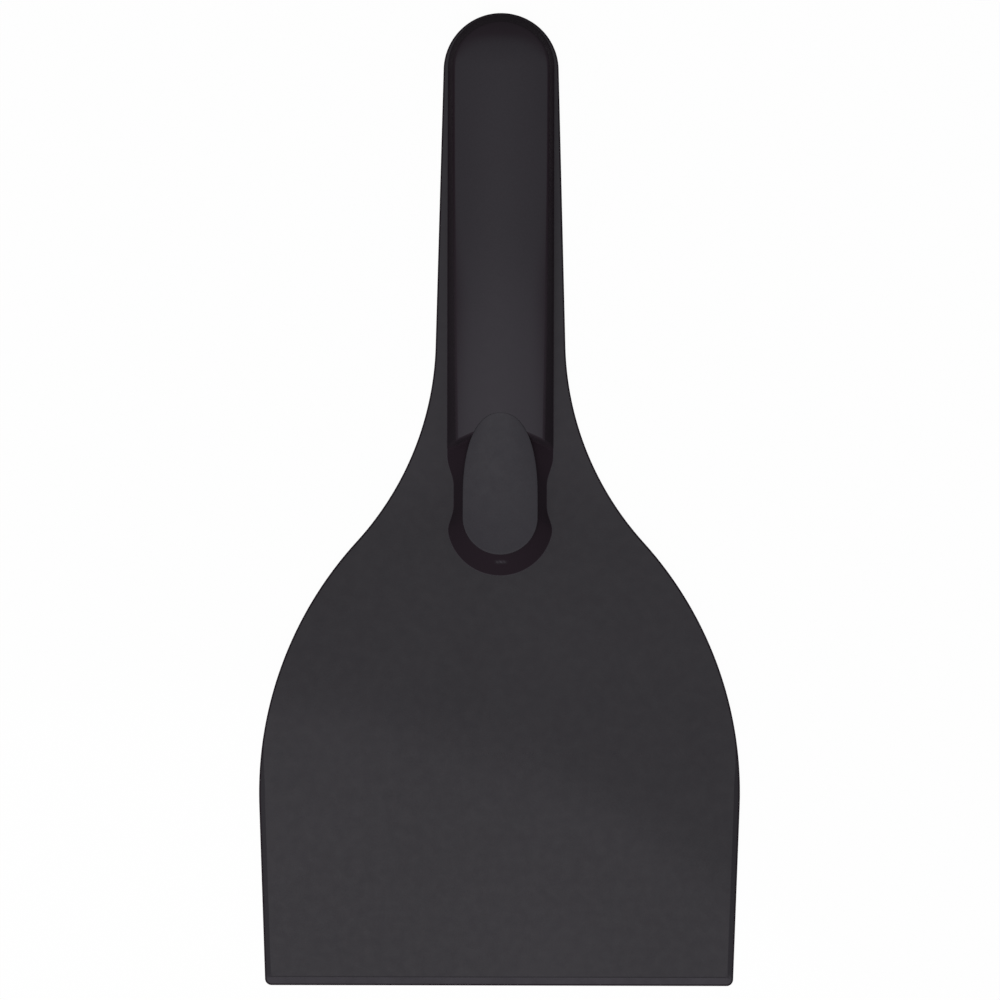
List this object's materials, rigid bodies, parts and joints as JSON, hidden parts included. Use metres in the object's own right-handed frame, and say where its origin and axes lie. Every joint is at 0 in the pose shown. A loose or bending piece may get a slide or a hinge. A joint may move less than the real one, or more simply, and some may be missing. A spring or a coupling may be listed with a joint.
{
  "type": "ice scraper",
  "caption": "Hand ice scraper: a flat spade-shaped blade with a bevelled scraping edge, and a raised hollow grip with an oval thumb pad.",
  "frame": {"origin": "centre of the object's outline on the plane of the plate's flat back", "axes": "+Y runs from the scraping edge to the end of the handle, +Z out of the front of the plate, X across the blade"},
  "size_m": [0.11, 0.2224, 0.014],
  "materials": {
    "blade_plastic": "fine satin texture",
    "grip_plastic": "fine satin texture",
    "pad_plastic": "smooth matt"
  },
  "bodies": {
    "root": {"blade_plate": "blade_plastic", "grip_shell": "grip_plastic", "thumb_pad": "pad_plastic"}
  },
  "joints": []
}
